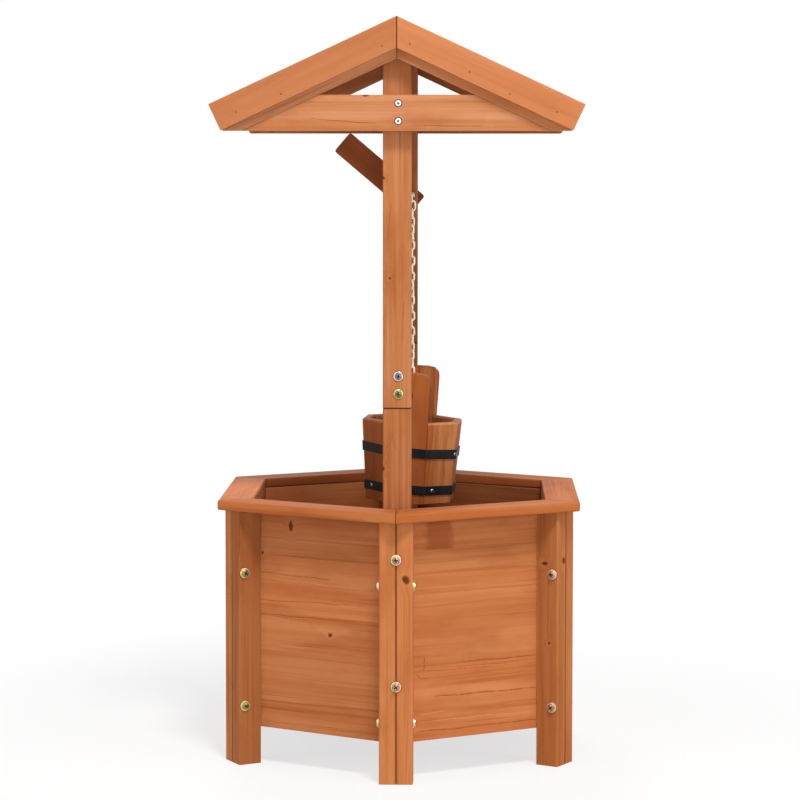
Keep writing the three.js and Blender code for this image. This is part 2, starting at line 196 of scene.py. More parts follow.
def attribute(tree, name, output="Fac"):
    return put(tree, "Attribute", attribute_name=name).outputs[output]


# Camera, floor and light

# place and clipEnd in metres, shiftY a share of the picture
cameraLook = {"place": (0.1049, -4.111, 0.8775), "turn": 1.49, "down": 3.4, "roll": -0.04, "lens": 125.14,
              "sensor": 36, "shiftY": -0.1, "clipEnd": 50}


def makeCamera():
    data = bpy.data.cameras.new("camera")
    data.sensor_width = cameraLook["sensor"]
    data.lens = cameraLook["lens"]
    data.shift_y = cameraLook["shiftY"]
    data.clip_end = cameraLook["clipEnd"]
    camera = newObject("camera", data)
    camera.location = cameraLook["place"]
    turns = (90 - cameraLook["down"], cameraLook["roll"], cameraLook["turn"])
    camera.rotation_euler = [radians(a) for a in turns]
    scene.camera = camera


white = (1, 1, 1, 1)
lights = {      # metres
    "key": {"place": (0.8, -2.7, 4.7), "size": 1.0, "watts": 215, "tint": (1, 0.99, 0.97)},
    "front": {"place": (0.5, -4.7, 0.9), "size": 2.2, "watts": 42},
    "left": {"place": (-3.6, -2.0, 1.5), "size": 2.2, "watts": 50},
    "right": {"place": (3.6, -2.0, 1.5), "size": 2.2, "watts": 54},
    "rear": {"place": (-0.8, 4.4, 3.6), "size": 2.4, "watts": 105},
}
# metres; ambient, floorTone and nearWhite are shares
studio = {"aim": (0, 0, 0.5), "ambient": 0.23, "floorRadius": 9, "floorSides": 96, "floorDrop": 0.0004,
          "floorTone": 0.8, "nearFloor": 0.34, "farFloor": 1.2, "nearWhite": 0.7}


def seenDirectly(tree):      # by the camera, or in a mirror or glass
    path = put(tree, "LightPath").outputs
    mirrored = calc(tree, "MAXIMUM", path["Is Glossy Ray"], path["Is Transmission Ray"])
    return calc(tree, "MAXIMUM", path["Is Camera Ray"], mirrored)


def makeStudio():
    for name, look in lights.items():
        data = bpy.data.lights.new(name, "AREA")
        data.size = look["size"]
        data.energy = look["watts"]
        data.color = look.get("tint", white[:3])
        lamp = newObject(name, data)
        lamp.location = look["place"]
        lamp.rotation_euler = (Vector(studio["aim"]) - lamp.location).to_track_quat("-Z", "Y").to_euler()

    world = scene.world or bpy.data.worlds.new("studio")
    scene.world = world
    world.use_nodes = True
    tree = world.node_tree
    tree.nodes.clear()
    strength = timesPlus(tree, seenDirectly(tree), 1 - studio["ambient"], studio["ambient"])
    setSurface(tree, put(tree, "Background", {"Color": white, "Strength": strength}), "OutputWorld")

    bm = bmesh.new()
    ops.create_circle(bm, cap_ends=True, radius=studio["floorRadius"], segments=studio["floorSides"])
    ops.translate(bm, verts=bm.verts, vec=(0, 0, -studio["floorDrop"]))
    floor = newObject("floor", newMesh(bm, "floor"))
    material, tree = emptyMaterial("paleFloor")
    tone = studio["floorTone"]
    paint = put(tree, "BsdfDiffuse", {"Color": (tone, tone, tone, 1)})
    glow = put(tree, "Emission", {"Color": white})
    away = lengthOf(tree, put(tree, "TexCoord").outputs["Object"])
    far = span(tree, away, studio["nearFloor"], studio["farFloor"], studio["nearWhite"])
    share = times(tree, far, seenDirectly(tree))
    setSurface(tree, put(tree, "MixShader", {0: share, 1: paint.outputs[0], 2: glow.outputs[0]}))
    floor.data.materials.append(material)


# The figure of the wood: growth rings, streaks, stain take-up and knots

# ring is the width of a year, lineSwell and lineEnds are shares of a line's half width; lean, unevenYears
# and the ragged values are plain factors, and unevenScale is for each metre
figure = {"ring": 4.2, "unevenScale": 120.0, "unevenYears": 1.6, "sway": 7.0, "lean": 0.05, "knotPull": 6.0,
          "knotRagged": 1.2, "heartRagged": 0.9, "heartTopRagged": 0.08, "lineWave": 7.0, "lineSwell": 1.2,
          "lineEnds": 0.5}
# Noise in the wood: scale, one for all ways or along, across and into the grain; detail and roughness
woodNoise = {
    "ragged": (110, 3, 0.6), "wave": (16, 1), "sway": ((2.2, 7.0, 7.0), 2), "rings": ((3.0, 34.0, 34.0), 1),
    "contour": ((1.5, 105.0, 105.0), 1), "lines": ((4.0, 26.0, 26.0), 1), "calm": ((2.6, 15.0, 15.0), 1),
    "fine": ((3.2, 190.0, 190.0), 2, 0.55), "bands": ((1.6, 42.0, 42.0), 2),
    "fibre": ((45.0, 1500.0, 1500.0), 2, 0.6), "blotch": ((7.0, 16.0, 16.0), 3, 0.6),
}
# Ramps: where a value begins and where it ends to count, then the shares there, unless they are 0 and 1
ramps = {
    "line": (1.3, 0.2), "broken": (0.35, 0.55, 0.45, 1.0), "pull": (4.6, 0.2), "heartEnds": (1.25, 0.75),
    "heartTop": (1.03, 0.97), "heartDepth": (1.1, 0.9), "lateWood": (0.35, 0.88), "yearEnd": (1.0, 0.92),
    "rings": (0.4, 0.7, 0.05, 1.0), "thin": (0.02, 0.0), "lines": (0.5, 0.64),
    "calm": (0.38, 0.62, 0.3, 1.15), "bands": (0.36, 0.66), "streaks": (0.47, 0.68),
    "paleStreaks": (0.42, 0.25), "blotch": (0.46, 0.74), "fibre": (0.4, 0.75, 0.0, 0.12),
    "halo": (0.3, 1.0, 0.0, 0.3), "knotHeart": (0.0, 0.6), "knot": (-0.5, 0.35, 0.0, 0.92),
    "wornAndLit": (0.42, 0.62, 0.1), "film": (0.35, 0.65), "rose": (0.44, 0.58), "dome": (0.1, 0.4),
    "recessShade": (0.6, 0.9),
}
# Knots: place of the middle and how far each reaches across, into and up the wood
knots = [
    ((-153.3, -167.4, 347.9), (3.4, 6, 10)),
    ((-95.2, -200.9, 196.6), (3.8, 6, 3.4)),
    ((-195.6, -143.0, 306.1), (2.4, 5, 2.8)),
    ((13.7, -277.5, 287.9), (6.4, 14, 6.4)),
    ((-18.8, -231.3, 438.0), (2.6, 7, 4.0)),
    ((-19.3, -231.3, 845.1), (2.6, 7, 3.0)),
    ((-10.1, -231.3, 705.5), (1.9, 7, 2.6)),
    ((209.9, -148.7, 293.0), (5.0, 9, 3.4)),
    ((237.4, -144.5, 297.0), (5.0, 5, 6.0)),
    ((216.1, -152.3, 178.5), (2.0, 5, 2.6)),
    ((-43.2, -249.6, 959.4), (5.4, 6, 1.6)),
    ((16.5, -72.6, 528.0), (4.4, 10, 6.0)),
    ((206.0, 82.0, 236.0), (9, 6.5, 4.5)),
    ((-206.0, -40.0, 148.0), (9, 5, 3.5)),
    ((118.0, 190.0, 214.0), (6, 8, 4.0)),
    ((-96.0, 200.0, 121.0), (5, 8, 3.2)),
    ((0.0, 231.3, 655.0), (4.6, 9, 5.4)),
    ((131.0, -58.0, 1007.9), (4.2, 5.5, 8)),
    ((-70.0, 120.0, 1036.4), (3.6, 5.0, 8)),
    ((-190.0, -30.0, 980.4), (4.6, 6.0, 8)),
    ((76.0, 175.0, 1033.6), (3.2, 4.4, 8)),
]
# Single lines in the wood: both ends and half the width
darkLines = [
    ((-228.3, -159.2, 366), (-228.3, -159.2, 305), 2.0),
    ((-241.7, -136.4, 115), (-235.6, -147, 105.4), 1.1),
    ((28.2, -239.6, 147.6), (33.4, -236.6, 141.0), 1.0),
    ((32.6, -237, 141), (46.6, -229, 139.6), 0.9),
    ((38.9, -233.4, 171), (38.2, -233.8, 153), 1.2),
    ((91.5, -203, 160.9), (197.7, -141.7, 158), 0.9),
    ((32.7, -237, 66.4), (199.5, -140.7, 66.2), 1.2),
    ((55, -224.1, 113.5), (199.4, -140.8, 112.5), 1.5),
    ((-197.7, -141.7, 218.3), (-60, -221.2, 218.7), 0.8),
    ((-197.6, -141.8, 277.4), (-95.8, -200.5, 276.4), 0.8),
    ((-197.7, -141.7, 237.6), (-46.5, -229, 242.6), 0.6),
    ((-7.8, -231.3, 490), (-0.7, -231.3, 463), 0.5),
    ((-7.1, -231.3, 484), (-16.2, -231.3, 461.5), 0.4),
    ((9.6, -231.3, 675), (6.8, -231.3, 612), 0.5),
    ((-8.7, -231.3, 807), (-12.8, -231.3, 759), 0.6),
    ((-119.8, -249.6, 926.5), (-30, -249.6, 921), 0.6),
    ((25, -249.6, 919), (118, -249.6, 917), 0.6),
]
paleLines = [
    ((-228.5, -159.4, 54), (-228.1, -159.2, 33), 1.2),
    ((38.2, -233.8, 153.3), (197.8, -141.7, 150.2), 1.1),
    ((34.1, -236.2, 79.8), (199.5, -140.7, 79), 1.2),
    ((31.3, -237.8, 91.2), (67.7, -216.8, 92.2), 1.1),
    ((-197, -142.2, 215), (-126.8, -182.7, 210), 1.1),
    ((-197.6, -141.8, 269.5), (-46.5, -229, 267), 1.0),
    ((-115, -189.5, 202.6), (-81.3, -208.9, 202.2), 2.0),
    ((-134.4, -249.6, 947), (-92.8, -249.6, 947.7), 1.0),
    ((-131.7, -249.6, 942.4), (-95.6, -249.6, 943.3), 1.0),
    ((-102.5, -249.6, 922.8), (-95.6, -249.6, 917.3), 0.8),
    ((-58.1, -249.6, 994.6), (-2.7, -249.6, 1017.5), 1.2),
    ((-43.3, -275.1, 369.1), (-22.1, -287.4, 368.7), 1.3),
    ((20, -249.6, 939.5), (112, -249.6, 937.5), 1.6),
    ((122, -249.6, 926), (139, -249.6, 925), 2.6),
    ((122, -249.6, 919), (134, -249.6, 917.5), 2.2),
    ((176, -261.9, 989.2), (226, -261.9, 958.2), 1.3),
    ((116, -261.9, 1012.4), (153, -261.9, 997.2), 0.9),
]
# Dark heartwood that shows through the stain on the panel: its middle, its half length, depth and height,
# and the way it faces
heartwood = ((58.9, -222.0, 350.0), (21, 9, 27), 30)


def lineGroup():
    tree = bpy.data.node_groups.new("grainLine", "ShaderNodeTree")
    for name, kind in (("Place", "Vector"), ("From", "Vector"), ("Way", "Vector"), ("Half", "Float")):
        tree.interface.new_socket(name=name, in_out="INPUT", socket_type="NodeSocket" + kind)
    tree.interface.new_socket(name="Line", in_out="OUTPUT", socket_type="NodeSocketFloat")
    given = tree.nodes.new("NodeGroupInput").outputs
    away = vector(tree, "SUBTRACT", given["Place"], given["From"])
    square = vector(tree, "DOT_PRODUCT", given["Way"], given["Way"], "Value")
    dot = vector(tree, "DOT_PRODUCT", away, given["Way"], "Value")
    share = calc(tree, "DIVIDE", dot, square, clamp=True)
    apart = vector(tree, "SUBTRACT", away, scaled(tree, given["Way"], share))
    taper = calc(tree, "SQRT", times(tree, share, calc(tree, "SUBTRACT", 1.0, share)))
    swollen = timesPlus(tree, taper, figure["lineSwell"], figure["lineEnds"])
    slim = times(tree, given["Half"], swollen)
    line = ramp(tree, calc(tree, "DIVIDE", lengthOf(tree, apart), slim), "line")
    tree.links.new(line, tree.nodes.new("NodeGroupOutput").inputs["Line"])
    return tree


lineTree = lineGroup()


def figureGroup():
    tree = bpy.data.node_groups.new("firFigure", "ShaderNodeTree")
    spot = attribute(tree, "grainSpot", "Vector")
    place = put(tree, "TexCoord").outputs["Object"]

    def field(name, where, output="Fac"):
        return noise(tree, where, *woodNoise[name], output=output)

    def scaledAway(middle, reach, angle=0):
        away = vector(tree, "SUBTRACT", place, [c * mm for c in middle])
        if angle:
            inputs = {0: away, "Axis": up, "Angle": -radians(angle)}
            away = put(tree, "VectorRotate", inputs).outputs[0]
        return vector(tree, "MULTIPLY", away, [1 / (r * mm) for r in reach])

    ragged = field("ragged", place)
    core, pull = 0.0, 0.0
    for mark in knots:
        length = lengthOf(tree, scaledAway(*mark))
        rough = calc(tree, "ADD", length, jitter(tree, ragged, figure["knotRagged"]))
        core = calc(tree, "MAXIMUM", calc(tree, "SUBTRACT", 1.0, rough), core)
        pull = calc(tree, "MAXIMUM", ramp(tree, length, "pull"), pull)
    parts = put(tree, "SeparateXYZ", {0: vector(tree, "ABSOLUTE", scaledAway(*heartwood))}).outputs
    torn = calc(tree, "ADD", parts["X"], jitter(tree, ragged, figure["heartRagged"]))
    capped = calc(tree, "ADD", parts["Z"], jitter(tree, ragged, figure["heartTopRagged"]))
    flat = times(tree, ramp(tree, torn, "heartEnds"), ramp(tree, capped, "heartTop"))
    patch = times(tree, flat, ramp(tree, parts["Y"], "heartDepth"))

    wave = centred(tree, field("wave", place, "Color"))
    wavy = vector(tree, "ADD", place, vector(tree, "MULTIPLY", wave, (0.0, 0.0, figure["lineWave"] * mm)))
    broken = ramp(tree, ragged, "broken")

    def lines(marks):
        found = 0.0
        for start, end, half in marks:
            inputs = {"Place": wavy, "From": [c * mm for c in start],
                      "Way": [(b - a) * mm for a, b in zip(start, end)], "Half": half * mm}
            line = put(tree, "Group", inputs, node_tree=lineTree)
            found = calc(tree, "MAXIMUM", line.outputs[0], found)
        return times(tree, found, broken)

    sway = scaled(tree, centred(tree, field("sway", spot, "Color")), figure["sway"] * mm)
    lifted = put(tree, "CombineXYZ", {"Y": times(tree, pull, figure["knotPull"] * mm)}).outputs[0]
    flow = vector(tree, "ADD", vector(tree, "ADD", spot, sway), lifted)
    grown = put(tree, "SeparateXYZ", {0: flow}).outputs
    deep = timesPlus(tree, grown["X"], figure["lean"], grown["Z"])
    wide = calc(tree, "POWER", grown["Y"], 2.0)
    radius = calc(tree, "SQRT", calc(tree, "ADD", wide, calc(tree, "POWER", deep, 2.0)))
    years = calc(tree, "DIVIDE", radius, figure["ring"] * mm)
    uneven = put(tree, "TexNoise", {"W": times(tree, radius, figure["unevenScale"])},
                 noise_dimensions="1D").outputs["Fac"]
    ring = calc(tree, "FRACT", timesPlus(tree, uneven, figure["unevenYears"], years))
    late = times(tree, ramp(tree, ring, "lateWood"), ramp(tree, ring, "yearEnd"))

    contour = calc(tree, "ABSOLUTE", calc(tree, "SUBTRACT", field("contour", flow), 0.5))
    fine = calc(tree, "SUBTRACT", field("fine", flow), 0.5)
    calm = ramp(tree, field("calm", spot), "calm")
    results = {
        "Rings": times(tree, late, ramp(tree, field("rings", spot), "rings")),
        "Bands": field("bands", flow),
        "Streaks": timesPlus(tree, fine, calm, 0.5),
        "Lines": times(tree, ramp(tree, contour, "thin"), ramp(tree, field("lines", spot), "lines")),
        "Fibre": field("fibre", spot),
        "Blotch": field("blotch", spot),
        "Knot": core, "Halo": pull, "Patch": patch, "Dark": lines(darkLines), "Pale": lines(paleLines),
        "End": attribute(tree, "endGrain"), "Edge": attribute(tree, "edgeWearAndLight"),
        "Tone": attribute(tree, "boardTone"),
    }
    for name in results:
        tree.interface.new_socket(name=name, in_out="OUTPUT", socket_type="NodeSocketFloat")
    out = tree.nodes.new("NodeGroupOutput")
    for name, socket in results.items():
        tree.links.new(socket, out.inputs[name])
    return tree


firTree = figureGroup()
# Looks of the stained wood: three colours; rings, streaks, blotch and wornAndLit are shares, rough is the
# mean roughness. wornAndLit is the pale colour on eased edges, partly worn stain and partly a painted
# highlight where an edge catches the light.
firColumns = ("slot", "pale", "mid", "deep", "rings", "streaks", "blotch", "wornAndLit", "rough", "sheen")
firRows = {
    "firLeg": ("fir_leg", "#e19b62", "#d0854a", "#9f5929", 0.16, 0.5, 0.5, 0.4, 0.6, 0.04),
    "firPanel": ("fir_panel", "#e39c65", "#d08450", "#a05a2e", 0.12, 0.5, 0.45, 0.35, 0.6, 0.05),
    "firRim": ("fir_rim", "#de9056", "#c97840", "#9f572a", 0.22, 0.6, 0.5, 0.4, 0.62, 0.05),
    "firFloor": ("fir_floor", "#a86137", "#91502b", "#733b1e", 0.4, 0.5, 0.4, 0.2, 0.66, 0.05),
    "firPost": ("fir_post", "#daa173", "#c68854", "#a16133", 0.16, 0.8, 0.7, 0.95, 0.55, 0.07),
    "firGable": ("fir_gable", "#eeb183", "#d28f5a", "#a9642f", 0.2, 0.9, 0.6, 0.45, 0.55, 0.07),
    "firFascia": ("fir_gable", "#e19b6a", "#d6905f", "#b46f38", 0.05, 0.22, 0.3, 0.5, 0.55, 0.07),
    "firRoof": ("fir_roof", "#cb7e4b", "#b86b3a", "#9a532a", 0.35, 0.5, 0.5, 0.3, 0.6, 0.07),
    "firCrank": ("fir_crank", "#9e653e", "#85512a", "#683c1d", 0.12, 0.25, 0.5, 0.3, 0.55, 0.07),
    "firBucket": ("fir_bucket", "#c7793f", "#aa612d", "#793c19", 0.16, 0.4, 0.4, 0.35, 0.55, 0.07),
    "firStriped": ("fir_bucket", "#df9f65", "#b86e36", "#743916", 0.75, 0.9, 0.4, 0.35, 0.55, 0.07),
}
firLooks = {name: dict(zip(firColumns, row)) for name, row in firRows.items()}
stain = {"fibre": "#6e3517", "heartwood": "#823f1b", "line": "#713417", "scratch": "#ecab79",
         "knot": "#3c1b0b", "knotRing": "#8a4420", "end": "#7a3f1f", "wornAndLit": "#dc9c6c", "seam": "#4a210e",
         "shade": "#541f08"}
# How much of each shows. A seam and a shaded board are marked by values below 0.
stainShares = {"paleStreaks": 0.8, "heartwood": 0.62, "scratch": 0.5, "line": 0.75, "end": 0.45,
               "seam": -0.85, "shade": -0.5, "bright": 0.25}
# rough is the fibre's share in the roughness; lines, streaks and fibre are shares in the height
relief = {"rough": 0.16, "lines": -0.6, "streaks": 0.5, "fibre": 0.25, "strength": 0.6, "depth": 0.5}


def stainedFir(name, look):
    material, tree = emptyMaterial(name)
    get = put(tree, "Group", node_tree=firTree).outputs
    pale, mid, deep = (colour(look[tone]) for tone in ("pale", "mid", "deep"))
    tint = {name: colour(code) for name, code in stain.items()}

    heart = mixed(tree, ramp(tree, get["Knot"], "knotHeart"), tint["knotRing"], tint["knot"])
    # pale eased edges: worn stain and a painted highlight
    wornAndLit = ramp(tree, get["Blotch"], "wornAndLit", look["wornAndLit"])
    layers = [
        (ramp(tree, get["Bands"], "bands"), mid),
        (ramp(tree, get["Streaks"], "streaks", 0.0, look["streaks"]), deep),
        (ramp(tree, get["Streaks"], "paleStreaks", 0.0, look["streaks"] * stainShares["paleStreaks"]), pale),
        (ramp(tree, get["Blotch"], "blotch", 0.0, look["blotch"]), deep),
        (times(tree, get["Rings"], look["rings"]), deep),
        (times(tree, get["Lines"], look["streaks"]), deep),
        (ramp(tree, get["Fibre"], "fibre"), tint["fibre"]),
        (ramp(tree, get["Halo"], "halo"), pale),
        (times(tree, get["Patch"], stainShares["heartwood"]), tint["heartwood"]),
        (times(tree, get["Pale"], stainShares["scratch"]), tint["scratch"]),
        (times(tree, get["Dark"], stainShares["line"]), tint["line"]),
        (ramp(tree, get["Knot"], "knot"), heart),
        (times(tree, get["End"], stainShares["end"]), tint["end"]),
        (times(tree, get["Edge"], wornAndLit, clamp=True), tint["wornAndLit"]),
        (times(tree, get["Edge"], stainShares["seam"], clamp=True), tint["seam"]),
        (times(tree, get["Tone"], stainShares["shade"], clamp=True), tint["shade"]),
    ]
    wood = pale
    for share, over in layers:
        wood = mixed(tree, share, wood, over)
    lit = calc(tree, "MAXIMUM", get["Tone"], 0.0)
    wood = scaled(tree, wood, timesPlus(tree, lit, stainShares["bright"], 1.0))

    rough = timesPlus(tree, get["Fibre"], relief["rough"], look["rough"] - relief["rough"] / 2)
    cut = calc(tree, "MAXIMUM", get["Lines"], get["Dark"])
    high = timesPlus(tree, cut, relief["lines"], times(tree, get["Streaks"], relief["streaks"]))
    high = timesPlus(tree, get["Fibre"], relief["fibre"], high)
    bump = put(tree, "Bump", {"Height": high, "Strength": relief["strength"],
                              "Distance": relief["depth"] * mm})
    setSurface(tree, put(tree, "BsdfPrincipled", {"Base Color": wood, "Roughness": rough,
                                                  "Normal": bump.outputs[0],
                                                  "Specular IOR Level": look["sheen"]}))
    return material


firs = {name: stainedFir(name, look) for name, look in firLooks.items()}


# Metals

# grain: the noise's scale, detail and roughness. film: the ramp on it, from a part's first colour to its
# second. hues: for each, the colours of the whole, or of a head's ring, dome and recess; two hues make
# patches. The recess colour is painted shade, in the recess and on the thin ring round a head. rough: a ramp
# on the film if filmRough is set, or else on the grain. edge: colour and share of
# worn edges. dimples: scale, strength and depth of a fine bump.
metalLooks = {
    "hoopPaint": {"grain": (60, 4, 0.65), "film": (0.4, 0.75), "rough": (0.2, 0.8, 0.42, 0.62),
                  "sheen": 0.16, "hues": [[("#0b0a0b", "#191718")]], "edge": ("#4a4848", 0.2),
                  "dimples": (900, 0.3, 0.1)},
    "chainZinc": {"grain": (220, 3, 0.6), "film": (0.35, 0.7), "rough": (0.3, 0.8, 0.28, 0.5),
                  "metallic": 0.15, "hues": [[("#fdf8ec", "#ddd2ba")]]},
    "yellowZinc": {"grain": (330, 2), "rough": (0.3, 0.8, 0.24, 0.4), "filmRough": True, "metallic": 0.5,
                   "hues": [[("#e3cf98", "#bda968"), ("#9d9350", "#6c6632"), ("#241f0c",)],
                            [("#e8c4ac", "#c4947e"), ("#b8917a", "#86695c"), ("#2a1a18",)]]},
    "oliveZinc": {"grain": (330, 2), "rough": (0.3, 0.8, 0.24, 0.4), "filmRough": True, "metallic": 0.5,
                  "hues": [[("#ddd3a0", "#a59f68"), ("#8b864f", "#5d5a34"), ("#1d1f0e",)]]},
    "boltSteel": {"grain": (420, 2), "rough": (0.3, 0.8, 0.24, 0.42), "filmRough": True, "metallic": 0.5,
                  "hues": [[("#ecdfd6", "#b9a9a4"), ("#8b7f84", "#63595e"), ("#211a1d",)]]},
    "screwSteel": {"grain": (420, 2), "rough": (0.3, 0.8, 0.3, 0.45), "filmRough": True, "metallic": 0.2,
                   "hues": [[("#fbf9f6", "#e2dedd"), ("#fbf9f6", "#e2dedd"), ("#2e2422",)]]},
    "rivetSteel": {"grain": (600, 2), "rough": (0.3, 0.8, 0.3, 0.5), "metallic": 0.7,
                   "hues": [[("#a9a5a0", "#6f6b68"), ("#a9a5a0", "#6f6b68"), ("#151314",)]]},
    "nailSteel": {"grain": (900, 2), "rough": (0.3, 0.8, 0.5, 0.7), "hues": [[("#43240f", "#6b4630")]]},
}
roseNoise = (34, 1)


def metal(name, look):
    material, tree = emptyMaterial(name)
    place = put(tree, "TexCoord").outputs["Object"]
    grain = noise(tree, place, *look["grain"])
    film = span(tree, grain, *look.get("film", ramps["film"]))

    def paint(part):
        tones = [mixed(tree, film, colour(hue[part][0]), colour(hue[part][-1])) for hue in look["hues"]]
        if len(tones) == 1:
            return tones[0]
        return mixed(tree, ramp(tree, noise(tree, place, *roseNoise), "rose"), *tones)

    base = paint(0)
    if len(look["hues"][0]) > 1:
        part = attribute(tree, "headPart")
        base = mixed(tree, ramp(tree, part, "dome"), base, paint(1))
        base = mixed(tree, ramp(tree, part, "recessShade"), base, paint(2))
    if "edge" in look:
        code, share = look["edge"]
        base = mixed(tree, times(tree, attribute(tree, "edgeWearAndLight"), share), base, colour(code))
    inputs = {"Base Color": base, "Metallic": look.get("metallic", 0.0),
              "Roughness": span(tree, film if "filmRough" in look else grain, *look["rough"])}
    if "sheen" in look:
        inputs["Specular IOR Level"] = look["sheen"]
    if "dimples" in look:
        scale, strength, depth = look["dimples"]
        bump = {"Height": noise(tree, place, scale), "Strength": strength, "Distance": depth * mm}
        inputs["Normal"] = put(tree, "Bump", bump).outputs[0]
    setSurface(tree, put(tree, "BsdfPrincipled", inputs))
    return material


metals = {name: metal(name, look) for name, look in metalLooks.items()}
print("materials ready:", len(bpy.data.materials))


# Boards: each is a copy of its CAD node, merged, with eased edges and its own piece of a log

# sharpest and flat are angles between two faces; facing is the cosine from which a face counts as turned
# the way that is asked for
edges = {"ease": 0.8, "segments": 2, "sharpest": 40, "seamReach": 1.8, "narrow": 1.1, "merge": 0.004,
         "flat": 0.8, "facing": 0.5, "endFacing": 0.8, "onPlane": 0.001}
logLook = {"heart": (0.03, 0.09), "along": 2, "across": 0.05, "tone": 0.12}      # metres, a share
cornerWays = [outward(30 + 60 * i) for i in range(6)]
# Planes in which two boards meet: a point and a normal
cornerSeams = [(Vector(), up.cross(way)) for way in cornerWays[:3]]


def boardCopy(node, ease=edges["ease"], seams=(), seamShade=1.0):
    bm = bmesh.new()
    bm.from_mesh(nodes[node].data)
    ops.remove_doubles(bm, verts=bm.verts, dist=edges["merge"] * mm)
    ops.dissolve_limit(bm, angle_limit=radians(edges["flat"]), verts=bm.verts, edges=bm.edges)
    least = radians(edges["sharpest"])
    sharp = [e for e in bm.edges if len(e.link_faces) == 2 and e.calc_face_angle() > least]
    ops.bevel(bm, geom=sharp, offset=ease * mm, segments=edges["segments"], profile=0.5, affect="EDGES",
              clamp_overlap=True, material=-1)
    # eased edges are marked for pale worn stain and a painted highlight, seams with values below 0 as dark
    # joints
    wornAndLit = bm.faces.layers.float.new("edgeWearAndLight")
    for face in bm.faces:      # the narrow faces are the eased edges, also those that the frame already has
        if face.calc_area() / max(e.calc_length() for e in face.edges) < edges["narrow"] * mm:
            middle = face.calc_center_median()
            inSeam = any(abs((middle - point).dot(normal)) < edges["seamReach"] * mm
                         for point, normal in seams)
            face[wornAndLit] = -seamShade if inSeam else 1.0
    return bm


def bisect(bm, point, normal):
    geometry = bm.verts[:] + bm.edges[:] + bm.faces[:]
    ops.bisect_plane(bm, geom=geometry, plane_co=point, plane_no=normal, dist=edges["onPlane"] * mm)


def layGrain(bm, name, along, across, tone=0.0, boardOf=None, shade=None):
    along, across = along.normalized(), across.normalized()
    thick = along.cross(across)
    spot = bm.loops.layers.float_vector.new("grainSpot")
    toned = bm.faces.layers.float.new("boardTone")
    ended = bm.faces.layers.float.new("endGrain")
    centre = middleOf(bm.verts)
    logs = {}
    for face in bm.faces:
        board = boardOf(face.calc_center_median()) if boardOf else 0
        if board not in logs:
            draw = random.Random(f"{name} {board}")
            heart = draw.choice((-1, 1)) * draw.uniform(*logLook["heart"])
            start = [draw.uniform(-reach, reach) for reach in (logLook["along"], logLook["across"])]
            drawnTone = tone + draw.uniform(-logLook["tone"], logLook["tone"])
            logs[board] = Vector((*start, heart)), drawnTone
        start, boardTone = logs[board]
        for loop in face.loops:
            away = loop.vert.co - centre
            loop[spot] = start + Vector((away.dot(along), away.dot(across), away.dot(thick)))
        face[toned] = boardTone + (shade(face) if shade else 0.0)
        face[ended] = 1.0 if abs(face.normal.dot(along)) > edges["endFacing"] else 0.0


def board(node, fir, along, across, tone=0.0, body="base", boardOf=None, bm=None, ease=edges["ease"],
          seams=(), seamShade=1.0, shade=None):
    bm = bm or boardCopy(node, ease, seams, seamShade)
    layGrain(bm, node, along, across, tone, boardOf, shade)
    return finish(bm, node + "_wood", firs[fir], body, (node,))


makeCamera()
makeStudio()


# Legs

legCorners = ["back_right", "back", "back_left", "front_left", "front", "front_right"]
legTones = {"front_a": 0.2, "front_b": 0.2, "front_left_b": -0.6, "front_right_a": -0.25,
            "front_right_b": 0.2}
legSeamShade = 0.6


def makeLegs():
    for corner, facing in zip(legCorners, cornerWays):
        for half in "ab":
            tone = legTones.get(f"{corner}_{half}", 0.0)
            board(f"leg_{corner}_{half}", "firLeg", up, up.cross(facing), tone, seams=cornerSeams,
                  seamShade=legSeamShade)


# Panels, glued from level boards whose joints show as fine lines, and the rim

sides = ["right", "back_right", "back_left", "left", "front_left", "front_right"]
panelLook = {"joint": 0.4, "depth": 0.15, "insideShade": -0.3, "onJoint": 0.01}
panelJoints = {"front_left": (104, 166, 222, 303, 341), "front_right": (72, 128, 158, 268, 325),
               "left": (133, 214, 300), "right": (92, 150, 246, 318), "back_left": (101, 161, 238, 331),
               "back_right": (84, 146, 229, 309)}      # heights, from the lowest up
rimLook = {"ease": 0.6, "seamShade": 0.75, "insideShade": -0.4}
rimTones = {"left": 0.9, "right": 0.3, "front_left": 0.1}
panelTones = {"front_right": 0.2}
# Painted light and shade on the inner faces of the back panels: the back left one lighter, the back right one
# darker
insideLightAndShade = {"back_left": 0.8, "back_right": -0.8}
# Tones of the glued boards. On the front left panel the two top boards are darker as a painted shadow of the
# rim, and the joint at 303 marks where that shadow ends
boardTones = {"front_left": (-0.2, -0.1, 0.2, 0.3, -0.25, -0.3),      # from the lowest board up
              "front_right": (0.3, 0.35, 0.3, -0.15, -0.05, -0.05)}


def scoreJoints(bm, facing, heights):
    middle = middleOf(bm.verts)
    for height in heights:
        for step in (-1, 0, 1):
            bisect(bm, up * (height + step * panelLook["joint"]) * mm, up)
        for vert in bm.verts:
            if abs(vert.co.z - height * mm) < panelLook["onJoint"] * mm:
                side = 1 if (vert.co - middle).dot(facing) > 0 else -1
                vert.co -= facing * side * panelLook["depth"] * mm


